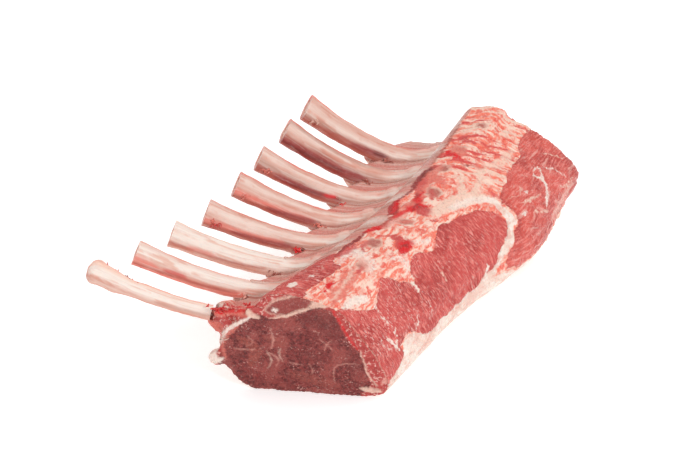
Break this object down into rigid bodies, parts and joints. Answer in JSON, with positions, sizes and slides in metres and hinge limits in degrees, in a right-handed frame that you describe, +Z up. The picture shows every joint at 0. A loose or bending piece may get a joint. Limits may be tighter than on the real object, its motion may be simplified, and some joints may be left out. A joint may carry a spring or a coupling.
{
  "type": "rack of lamb",
  "caption": "Raw rack of lamb, French trimmed, lying on its fat side with the bared rib bones curving up and out.",
  "frame": {"origin": "on the flat face that the rack rests on, under the eye of meat, half way along the row of ribs", "axes": "+Z up from the resting face, +Y along the loin from the loin end to the shoulder end, ribs out over -X"},
  "size_m": [0.145, 0.2486, 0.0677],
  "materials": {
    "raw_meat": "moist raw muscle with fine grain and white marbling",
    "fat": "firm, slightly waxy, cream to pink",
    "bone": "scraped bone, satin, with red shreds of meat"
  },
  "bodies": {
    "root": {"meat": "raw_meat", "fat_cap": "fat", "chine": "bone", "rib_1": "bone", "rib_2": "bone", "rib_3": "bone", "rib_4": "bone", "rib_5": "bone", "rib_6": "bone", "rib_7": "bone", "rib_8": "bone"}
  },
  "joints": []
}
